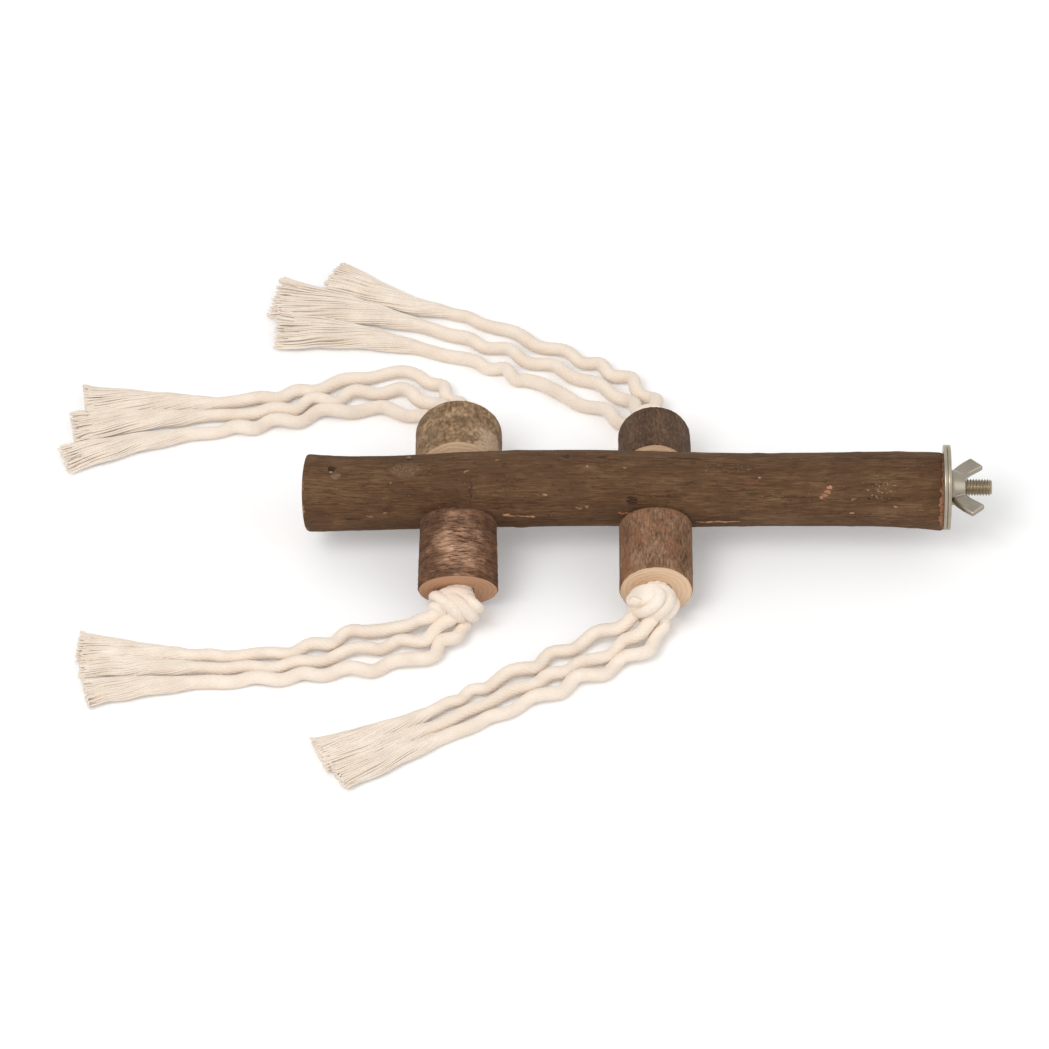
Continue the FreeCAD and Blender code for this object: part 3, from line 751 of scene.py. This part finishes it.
def make_knots(blocks, starts):
    """The stopper knots, each drawn up against its block without touching it, and the strands' roots."""
    material = cotton("knot_cotton", (251, 238, 223), (236, 218, 200))
    for block, shape in blocks.items():
        *coil, aside, drum_radius = KNOTS[block]
        centre, turn = middle(f"knot_{block}"), shape["place"].to_3x3()
        line = knot_line(*coil)
        vertices, faces = tube(line, yarn_radii(line, KNOT_WRAP, ridges=10, lay=0.02, depth=0.08))
        foot = shape["length"] + KNOT_GAP - (centre - shape["place"].translation).dot(shape["axis"])
        low, high = vertices[:, 2].min(), vertices[:, 2].max()
        vertices[:, 2] = foot + (vertices[:, 2] - low) * (KNOT_HEIGHT / (high - low))
        drum, drum_faces = knot_drum(drum_radius)
        drum[:, 2] += foot
        vertices, faces = joined([(vertices, faces), (drum, drum_faces)])
        vertices[:, :2] += np.array(aside) * MM
        swept = foot + abs(shape["slant"]) * np.hypot(vertices[:, 0], vertices[:, 1])
        vertices[:, 2] = np.maximum(vertices[:, 2], swept)
        stem = np.array([(0, 0, foot - NECK_DEPTH), (0, 0, foot + NECK_DEPTH)])
        stem = respaced(stem, KNOT_STEP)
        vertices, faces = joined([(vertices, faces), tube(stem, yarn_radii(stem, KNOT_NECK))])
        parts = [(vertices @ np.array(turn).T + np.array(centre), faces)]
        for start in starts[block]:
            root = respaced(np.vstack([np.array(centre), start]), KNOT_STEP)
            thinning = np.linspace(1.04, 0.86, len(root))
            parts.append(tube(root, yarn_radii(root, STRAND_RADIUS * thinning)))
        piece(f"knot_{block}_cotton", joined(parts), [material], "root", "cotton_knot", f"knot_{block}")


def make_ropes(blocks):
    """The two laid ropes, each of three strands, from knot to knot through blocks and branch."""
    material = cotton("rope_cotton", (247, 231, 214), (232, 212, 192))
    for rope, near, rear in (
        ("left_rope", "near_left", "rear_left"),
        ("right_rope", "near_right", "rear_right"),
    ):
        points = []
        for block in (near, rear):
            seat, knot = blocks[block]["place"].translation, middle(f"knot_{block}")
            run = [knot, knot.lerp(seat, 0.4), knot.lerp(seat, 0.8), seat]
            points += run if block == near else run[::-1]
        line = respaced(spline_line(points), ROPE_STEP)
        across, over = frames(line)
        strands = []
        for k in range(3):
            turn = (TAU * (along(line) / ROPE_LAY + k / 3))[:, None]
            strand = line + ROPE_STRAND_OUT * (np.cos(turn) * across + np.sin(turn) * over)
            strands.append(tube(strand, yarn_radii(strand, ROPE_STRAND, around=48)))
        piece(f"{rope}_cotton", joined(strands), [material], "root", "cotton_rope", rope)


# ---- wood


def measured_block(block):
    """A block's place, axis, length, radii, bore and slant, all measured on its CAD solid."""
    joint = next(j for j in frame["joints"] if j["child"] == f"block_{block}")
    axis = Vector(joint["axis"]).normalized()
    sideways = Vector((1, 0, 0))
    place = Matrix((sideways, axis.cross(sideways), axis)).transposed().to_4x4()
    place.translation = Vector(joint["pos_m"])
    solid = frame["nodes"][f"block_{block}"].data
    into = place.inverted()
    points = np.array([into @ v.co for v in solid.vertices])
    out = np.hypot(points[:, 0], points[:, 1])
    end = {i for p in solid.polygons if p.normal.dot(axis) > 0.9 for i in p.vertices}
    top = points[sorted(end)]
    slant, length = np.polyfit(top[:, 1], top[:, 2], 1)
    return {
        "place": place,
        "axis": axis,
        "length": length,
        "slant": slant,
        "bore": out.min(),
        "inner": out[points[:, 2] < 0.001].max(),
        "outer": np.hypot(top[:, 0], top[:, 1]).max(),
    }


def block_rings(shape, waves, depth, seed):
    """Closed rings of a block, from its bore over the inner face, bark and outer face to its bore."""
    _, round_x, round_y = directions(WOOD_AROUND)
    rings, roles = [], []

    def ring(radius, height, role):
        rings.append(np.stack([radius * round_x, radius * round_y, height], axis=1))
        roles.append(role)

    def bark_radius(share):
        base = shape["inner"] + (shape["outer"] - shape["inner"]) * share
        wear_and_highlight = 0.00035 * (max(0, 1 - share / 0.03) ** 2 + max(0, (share - 0.97) / 0.03) ** 2)
        place = [(base * x, base * y, share * shape["length"]) for x, y in zip(round_x, round_y)]
        rough = [
            0.6 * ripple(p, waves, seed) + 0.4 * ripple(p, (0.009, 0.009, 0.012), seed) for p in place
        ]
        return base - wear_and_highlight - depth * (0.5 + 0.5 * np.array(rough))

    saw = np.array([0.00006 * ripple((x, y, 0), (0.004, 0.0006, 1), seed) for x, y in zip(round_x, round_y)])
    level = np.zeros(WOOD_AROUND)
    first, last = bark_radius(0.0), bark_radius(1.0)
    for share in np.linspace(0, 1, 7):
        radius = shape["bore"] + (first - shape["bore"]) * share
        ring(radius, level + abs(saw) * (0 < share < 1), "sawn")
    for share in np.linspace(0, 1, 46)[1:]:
        radius = bark_radius(share)
        ring(radius, share * (shape["length"] + shape["slant"] * radius * round_y), "bark")
    for share in np.linspace(1, 0, 7)[1:]:
        radius = shape["bore"] + (last - shape["bore"]) * share
        ring(radius, shape["length"] + shape["slant"] * radius * round_y - abs(saw), "sawn")
    return np.array(rings), roles


def make_blocks(blocks):
    """The four blocks of branch wood, each with a bark of its own."""
    pale_patch = ((0.0118, -0.0096, 0.0055), (0.0072, 0.0075, 0.0066), (196, 168, 141))
    # On near_left, a patch on the block's top middle has its fibres paler: a painted highlight.
    painted_highlight = ((0.0005, 0.0130, 0.0150), (0.0078, 0.0058, 0.0110), (88, 58, 41), (206, 162, 131))
    special = {"near_left": {"wear_and_highlight": painted_highlight}, "rear_left": {"marks": [pale_patch]}}
    skins = {
        block: bark(f"bark_{block}", *BLOCK_WOODS[block][3:7], **special.get(block, {})) for block in blocks
    }
    for seed, (block, shape) in enumerate(blocks.items()):
        slot, waves, depth, *_, heart, ring = BLOCK_WOODS[block]
        rings, roles = block_rings(shape, waves, depth, 7.3 * seed)
        mesh = (rings.reshape(-1, 3), walls(rings, looped=True)[1])
        kinds = [int(role == "sawn") for role in roles[1:] + roles[:1] for _ in range(WOOD_AROUND)]
        materials = [skins[block], sawn_wood(f"sawn_{block}", heart, ring)]
        thing = piece(f"block_{block}_wood", mesh, materials, f"block_{block}", slot)
        thing.data.polygons.foreach_set("material_index", kinds)
        thing.data.set_sharp_from_angle(angle=math.radians(50))
        thing.matrix_world = shape["place"]
        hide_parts(f"block_{block}")


def cylinder_between(start, end, radius, around=64):
    """A plain cylinder from one point to another, as an object that only cuts."""
    vertices, faces = tube(np.array([start, end]), np.full((2, around), radius))
    mesh = bpy.data.meshes.new("cutter")
    mesh.from_pydata(vertices.tolist(), [], faces)
    return new_object("cutter", mesh)


def modified(thing):
    """Puts a thing's modifiers into its mesh."""
    bpy.context.view_layer.update()
    ready = thing.evaluated_get(bpy.context.evaluated_depsgraph_get())
    mesh = bpy.data.meshes.new_from_object(ready)
    thing.modifiers.clear()
    thing.data = mesh


def cap_rings(ring, inwards):
    """Rings inside an end ring of the branch, from its middle out, roughened by the saw."""
    centre = ring.mean(axis=0)
    caps = []
    for share in CAP_SHARES:
        inner = centre + (ring - centre) * share
        saw = [0.00007 * ripple((0, y, z), (1, 0.004, 0.0008), 5.0) for _, y, z in inner]
        inner[:, 0] += inwards * np.abs(saw)
        caps.append(inner)
    return caps


def make_branch(blocks):
    """The branch: knobbly bark, two sawn ends, a hole through it for each rope and one for the bolt."""
    solid = frame["nodes"]["perch_branch"].data
    tree = BVHTree.FromPolygons([v.co[:] for v in solid.vertices], [p.vertices[:] for p in solid.polygons])
    low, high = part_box("perch_branch")
    stations = np.linspace(low.x, high.x, round((high.x - low.x) / BRANCH_STEP) + 1)
    rings = []
    for x in stations:
        inside = min(max(x, low.x + 0.0002), high.x - 0.0002)
        top = tree.ray_cast(Vector((inside, 0, 0.1)), Vector((0, 0, -1)))[0].z
        bottom = tree.ray_cast(Vector((inside, 0, -0.1)), Vector((0, 0, 1)))[0].z
        radius = (top - bottom) / 2
        from_end = min(x - low.x, high.x - x)
        wear_and_highlight = 0.0004 * max(0, 1 - from_end / 0.0012) ** 2
        ring = []
        for angle in directions(WOOD_AROUND)[0]:
            y, z = radius * math.cos(angle), radius * math.sin(angle)
            spot = (x, y, z)
            fine = ripple(spot, (0.010, 0.0012, 0.0012), 3.0)
            swell = ripple(spot, (0.030, 0.009, 0.009), 8.0)
            warts = max(0, ripple(spot, (0.006, 0.004, 0.004), 21.0) - 0.25)
            relief = 0.00013 * fine + 0.0002 * swell + 0.0004 * warts - 0.0001 - wear_and_highlight
            scale = (radius + relief) / radius
            ring.append((x, y * scale, (top + bottom) / 2 + z * scale))
        rings.append(ring)
    rings = np.array(rings)
    rings = np.concatenate([cap_rings(rings[0], 1), rings, cap_rings(rings[-1], -1)[::-1]])
    towards = (rings[..., 2] - BRANCH_AXIS_HEIGHT - rings[..., 1]) / math.sqrt(2)
    fade = np.clip(1 - (rings[..., 0] - low.x) / SLANT_FADES, 0, 1)
    rings[..., 0] += END_SLANT * (towards.max() - towards) * fade
    marks, specks = (
        [
            ((x * MM, math.radians(turn), 0), (long * MM, math.radians(wide), 1.0), shade)
            for x, turn, long, wide, shade in places
        ]
        for places in (BRANCH_MARKS, BRANCH_SPECKS)
    )
    shades = ((76, 51, 32), (99, 71, 47), (122, 93, 67))
    fibres, blotch = (6.0, 0.55, 0.55), ((88, 62, 42), 16.0)
    skin = bark("branch_bark", shades, fibres, *blotch, marks, specks, BRANCH_AXIS_HEIGHT)
    pith = (0, 0.0012, BRANCH_AXIS_HEIGHT + 0.001)
    wood = sawn_wood("sawn_branch", (226, 188, 148), (192, 150, 114), pith, True)
    thing = piece("perch_branch_wood", closed_rings(rings), [skin, wood], "root", "branch_bark")
    capped = len(CAP_SHARES)
    kinds = [1] * capped + [0] * (len(rings) - 1 - 2 * capped) + [1] * (capped + 2)
    thing.data.polygons.foreach_set("material_index", np.repeat(kinds, WOOD_AROUND))
    cutters = []
    for near, rear in (("near_left", "rear_left"), ("near_right", "rear_right")):
        start, end = (blocks[b]["place"].translation for b in (near, rear))
        reach = (end - start) * 0.3
        cutters.append(cylinder_between(start - reach, end + reach, ROPE_HOLE))
    bolt_low, bolt_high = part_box("hanger_bolt")
    axis = Vector((0, (bolt_low.y + bolt_high.y) / 2, (bolt_low.z + bolt_high.z) / 2))
    start, end = Vector((bolt_low.x - 0.0005, 0, axis.z)), Vector((high.x + 0.002, 0, axis.z))
    cutters.append(cylinder_between(start, end, THREAD_RADIUS + 0.0001))
    for cutter in cutters:
        cut = thing.modifiers.new("cut", "BOOLEAN")
        cut.operation = "DIFFERENCE"
        cut.solver = "EXACT"
        cut.object = cutter
    modified(thing)
    for cutter in cutters:
        bpy.data.objects.remove(cutter)
    thing.data.set_sharp_from_angle(angle=math.radians(55))
    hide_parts("perch_branch")


# ---- steel


def make_bolt(around=72):
    """The hanger bolt: a coarse wood thread in the branch and a machine thread outside it."""
    low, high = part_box("hanger_bolt")
    centre_z = (low.z + high.z) / 2
    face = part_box("perch_branch")[1].x
    rings = []

    def thread(x, pitch, root, crest):
        turn = (x / pitch - directions(around)[0] / TAU) % 1.0
        flank = np.clip((np.abs(turn - 0.5) - 0.07) / 0.33, 0, 1)
        return root + (crest - root) * (1 - flank)

    for x in np.arange(low.x, face - 0.003, 0.0002):
        narrow = min(1.0, 0.25 + (x - low.x) / 0.006)
        cut = narrow * thread(x, WOOD_THREAD_PITCH, WOOD_THREAD_ROOT, THREAD_RADIUS - 0.0003)
        rings.append(ring_about_x(x, cut, centre_z, around))
    for x in np.arange(face - 0.0026, high.x + 1e-9, THREAD_PITCH / 14):
        end = min(1.0, 0.74 + (high.x - x) / 0.0035)
        start = min(1.0, 0.9 + (x - face + 0.003) / 0.006)
        limit = THREAD_RADIUS * min(start, end)
        cut = thread(x, THREAD_PITCH, THREAD_RADIUS - 0.0006, THREAD_RADIUS - 0.00002)
        rings.append(ring_about_x(x, np.minimum(cut, limit), centre_z, around))
    material = zinc("zinc_bolt", (169, 156, 135), 0.3)
    mesh = closed_rings(np.array(rings))
    thing = piece("hanger_bolt_steel", mesh, [material], "root", "zinc_bolt", "hanger_bolt")
    thing.data.set_sharp_from_angle(angle=math.radians(40))


def turned(profile, place_x, centre_z, around=128):
    """A ring turned about X: the profile has its distance along X and its radius, all the way round."""
    rings = np.array([ring_about_x(place_x + x, radius, centre_z, around) for x, radius in profile])
    return rings.reshape(-1, 3), walls(rings, looped=True)[1]


def rounded(corners, radius, steps=4):
    """A closed outline with its corners rounded."""
    outline = []
    count = len(corners)
    for i in range(count):
        before, here, after = (np.array(corners[j % count]) for j in (i - 1, i, i + 1))
        back, on = unit(before - here), unit(after - here)
        for t in np.linspace(0, 1, steps + 1):
            start, end = here + back * radius, here + on * radius
            outline.append(tuple((1 - t) ** 2 * start + 2 * t * (1 - t) * here + t**2 * end))
    return outline


def make_washers():
    """Two large flat washers, stamped, with slightly rounded edges."""
    material = zinc("zinc_washer", (167, 156, 138), 0.32)
    for node, body in (("inner_washer", "root"), ("outer_washer", "clamp")):
        low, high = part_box(node)
        thick, radius = high.x - low.x, (high.z - low.z) / 2
        corners = [(0, WASHER_HOLE), (0, radius), (thick, radius), (thick, WASHER_HOLE)]
        mesh = turned(rounded(corners, WASHER_EDGE), low.x, (low.z + high.z) / 2)
        thing = piece(f"{node}_steel", mesh, [material], body, "zinc_washer", node)
        thing.data.set_sharp_from_angle(angle=math.radians(60))


def slab(outline, thickness, edge):
    """A rounded slab about the plane Z = 0 inside an outline in X and Y."""
    outline = np.array(outline)
    if np.sum(np.cross(outline, np.roll(outline, -1, axis=0))) < 0:
        outline = outline[::-1]
    ahead = unit(np.roll(outline, -1, axis=0) - np.roll(outline, 1, axis=0))
    inward = np.stack([-ahead[:, 1], ahead[:, 0]], axis=1)
    layers = []
    for angle in np.linspace(-math.pi / 2, math.pi / 2, 9):
        inset = edge * (1 - math.cos(angle))
        height = (thickness / 2 - edge) * np.sign(angle) + edge * math.sin(angle)
        flat = outline + inward * inset
        layers.append(np.column_stack([flat, np.full(len(flat), height)]))
    number, faces = walls(np.array(layers))
    faces += [number[0][::-1].tolist(), number[-1].tolist()]
    return np.concatenate(layers), faces


def spline_ring(points, steps=6):
    """A smooth closed outline through these points."""
    points = np.array(points)
    outline = []
    for i in range(len(points)):
        a, b, c, d = (points[(i + j) % len(points)] for j in (-1, 0, 1, 2))
        for t in np.arange(steps) / steps:
            square = (2 * a - 5 * b + 4 * c - d) * t**2
            cube = (3 * b - a - 3 * c + d) * t**3
            outline.append(0.5 * (2 * b + (c - a) * t + square + cube))
    return outline


def make_wing_nut():
    """The wing nut: a turned hub with two bent wings, cast in one piece, with soft corners."""
    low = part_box("wing_nut")[0]
    bolt_low, bolt_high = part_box("hanger_bolt")
    centre_z = (bolt_low.z + bolt_high.z) / 2
    parts = [turned(rounded(NUT_HUB, 0.0003), low.x, centre_z, 96)]
    smooth = spline_ring(NUT_WING)
    for way in (-1, 1):
        vertices, faces = slab(smooth, WING_THICKNESS, WING_EDGE)
        taper = 1.0 - 0.25 * np.clip((vertices[:, 0] - 0.005) / 0.008, 0, 1)
        placed = np.stack(
            [low.x + vertices[:, 1], way * vertices[:, 0], centre_z + vertices[:, 2] * taper], axis=1
        )
        parts.append((placed, faces if way > 0 else [face[::-1] for face in faces]))
    material = zinc("zinc_nut", (154, 146, 132), 0.3)
    thing = piece("wing_nut_steel", joined(parts), [material], "nut", "zinc_nut")
    cast = thing.modifiers.new("cast", "REMESH")
    cast.mode = "VOXEL"
    cast.voxel_size = CAST_VOXEL
    soft = thing.modifiers.new("soft", "SMOOTH")
    soft.iterations = 6
    modified(thing)
    thing.data.shade_smooth()
    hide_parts("wing_nut")



# ---- camera, light and floor


def make_camera():
    """The photograph's viewing angle."""
    camera = new_object("camera", bpy.data.cameras.new("camera"))
    camera.data.lens = CAMERA_LENS
    camera.data.sensor_width = 36.0
    camera.data.clip_start = 0.05
    camera.data.clip_end = 20.0
    away = Vector((0, -math.cos(LOOK_DOWN), math.sin(LOOK_DOWN)))
    camera.location = CAMERA_TARGET + away * CAMERA_AWAY
    camera.rotation_euler = (math.pi / 2 - LOOK_DOWN, 0, 0)
    bpy.context.scene.camera = camera


def make_lamp(name, place, side, power):
    """A soft square lamp that shines at the middle of the perch."""
    data = bpy.data.lights.new(name, "AREA")
    data.size = side
    data.energy = power
    lamp = new_object(name, data)
    lamp.location = place
    lamp.rotation_euler = (CAMERA_TARGET - Vector(place)).to_track_quat("-Z", "Y").to_euler()


def background_rays(tree):
    """1 for rays from the camera, and for those that mirrors and glass pass on."""
    path = add(tree, "LightPath")
    seen = reckon(tree, "MAXIMUM", path.outputs["Is Camera Ray"], path.outputs["Is Glossy Ray"])
    return reckon(tree, "MAXIMUM", seen, path.outputs["Is Transmission Ray"])


def make_world():
    """Even studio light, with a white background where it is seen."""
    world = bpy.data.worlds.new("studio")
    world.use_nodes = True
    tree = world.node_tree
    tree.nodes.clear()
    light = add(tree, "Background", {"Color": (1, 1, 1, 1), "Strength": WORLD_LIGHT})
    white = add(tree, "Background", {"Color": (1, 1, 1, 1), "Strength": 1.0})
    pick = add(tree, "MixShader", {0: background_rays(tree), 1: light.outputs[0], 2: white.outputs[0]})
    out = tree.nodes.new("ShaderNodeOutputWorld")
    tree.links.new(pick.outputs[0], out.inputs[0])
    bpy.context.scene.world = world


def make_floor():
    """A pale floor that keeps the perch's shadow."""
    side = 3.0
    mesh = bpy.data.meshes.new("floor")
    corners = [(-side, -side, 0), (side, -side, 0), (side, side, 0), (-side, side, 0)]
    mesh.from_pydata(corners, [], [(0, 1, 2, 3)])
    material = bpy.data.materials.new("floor_paper")
    material.use_nodes = True
    tree = material.node_tree
    tree.nodes.clear()
    paper = add(tree, "BsdfDiffuse", {"Color": (0.94, 0.94, 0.94, 1)})
    glow = add(tree, "Emission", {"Color": (1, 1, 1, 1), "Strength": FLOOR_GLOW})
    both = add(tree, "AddShader", {0: paper.outputs[0], 1: glow.outputs[0]})
    pick = add(tree, "MixShader", {0: background_rays(tree), 1: paper.outputs[0], 2: both.outputs[0]})
    out = tree.nodes.new("ShaderNodeOutputMaterial")
    tree.links.new(pick.outputs[0], out.inputs[0])
    mesh.materials.append(material)
    new_object("floor", mesh)


def make_studio():
    """Camera, lamps, world and floor."""
    make_camera()
    make_lamp("key", (-0.9, -1.1, 1.9), 1.2, KEY_WATTS)
    make_lamp("fill", (1.3, -0.7, 1.2), 1.4, FILL_WATTS)
    make_world()
    make_floor()
    bpy.context.scene.view_settings.view_transform = "Standard"


def make_all():
    """Everything, with the camera and the cords first."""
    make_studio()
    starts = make_strands()
    blocks = {block: measured_block(block) for block in BLOCKS}
    make_ropes(blocks)
    make_knots(blocks, starts)
    make_branch(blocks)
    make_blocks(blocks)
    make_bolt()
    make_washers()
    make_wing_nut()


make_all()
